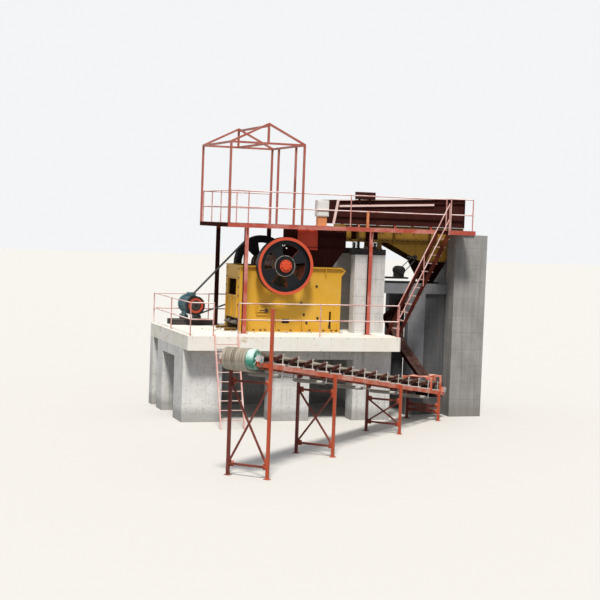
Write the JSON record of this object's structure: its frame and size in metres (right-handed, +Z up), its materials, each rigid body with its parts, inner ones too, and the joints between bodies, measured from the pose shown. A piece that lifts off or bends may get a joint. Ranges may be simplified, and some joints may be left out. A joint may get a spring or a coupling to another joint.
{
  "type": "jaw crusher station",
  "caption": "Jaw crusher on a concrete platform with belt drive, vibrating feeder, steel walkway, stair, bare canopy frame and an inclined belt conveyor on trestles.",
  "frame": {"origin": "on the ground under the middle pier of the front wall, halfway through the wall's thickness", "axes": "+X along the crusher from the motor to the feeder, +Y away from the open front toward the back wall, +Z up"},
  "size_m": [12.8965, 15.8039, 10.18],
  "materials": {
    "concrete": "matte",
    "slab_concrete": "matte",
    "column_concrete": "matte",
    "crusher_paint": "satin",
    "housing_paint": "satin",
    "jaw_steel": "worn",
    "bare_steel": "satin",
    "shaft_steel": "satin",
    "flywheel_paint": "satin",
    "drive_wheel_paint": "satin",
    "pulley_paint": "satin",
    "rubber": "matte",
    "belt_rubber": "matte",
    "motor_paint": "satin",
    "dark_steel": "satin",
    "spring_steel": "satin",
    "walkway_paint": "satin",
    "plate_steel": "worn",
    "rail_paint": "satin",
    "chute_paint": "satin",
    "feeder_paint": "satin",
    "rusty_steel": "worn",
    "conveyor_paint": "satin",
    "roller_steel": "satin",
    "drum_paint": "satin"
  },
  "bodies": {
    "root": {"wall_front": "concrete", "wall_left": "concrete", "wall_right": "concrete", "wall_back": "concrete", "slab": "slab_concrete", "crusher_frame": "crusher_paint", "fixed_jaw": "jaw_steel", "swing_jaw": "crusher_paint", "swing_jaw_plate": "jaw_steel", "cheek_plates": "jaw_steel", "toggle_plate": "bare_steel", "tension_rod": "bare_steel", "bearing_housings": "housing_paint", "drive_belts": "rubber", "motor": "motor_paint", "motor_base": "dark_steel", "walkway_frame": "walkway_paint", "walkway_deck": "plate_steel", "walkway_posts": "walkway_paint", "walkway_handrail": "walkway_paint", "canopy_frame": "walkway_paint", "slab_handrail": "rail_paint", "access_ladder": "rail_paint", "stair_stringers": "walkway_paint", "stair_treads": "plate_steel", "stair_handrail": "walkway_paint", "feed_chute": "chute_paint", "skirt_boards": "chute_paint", "feeder_trough": "feeder_paint", "feeder_springs": "spring_steel", "feeder_support": "dark_steel", "feeder_motor": "dark_steel", "undersize_hopper": "feeder_paint", "undersize_chute": "rusty_steel", "feeder_columns": "column_concrete", "tie_frame": "column_concrete", "end_pier": "column_concrete", "conveyor_frame": "conveyor_paint", "trestles": "conveyor_paint", "idlers": "roller_steel", "return_idlers": "roller_steel", "conveyor_belt": "belt_rubber", "tail_drum": "dark_steel"},
    "rotor": {"eccentric_shaft": "shaft_steel", "flywheel": "flywheel_paint", "drive_wheel": "drive_wheel_paint"},
    "motor_rotor": {"motor_pulley": "pulley_paint"},
    "drum": {"head_drum": "drum_paint"}
  },
  "joints": [
    {"name": "crusher_spin", "type": "hinge", "parent": "root", "child": "rotor", "pos_m": [-0.06, 1.95, 5.29], "axis": [0, 1, 0], "continuous": true},
    {"name": "motor_spin", "type": "hinge", "parent": "root", "child": "motor_rotor", "pos_m": [-2.5, 3.35, 3.69], "axis": [0, 1, 0], "continuous": true},
    {"name": "drum_spin", "type": "hinge", "parent": "root", "child": "drum", "pos_m": [-4.82175, -10.64836, 3.2194], "axis": [-0.7254, 0.6884, 0], "continuous": true}
  ],
  "couplings": [
    {"joint": "motor_spin", "follows": "crusher_spin", "ratio": 2.9412}
  ]
}
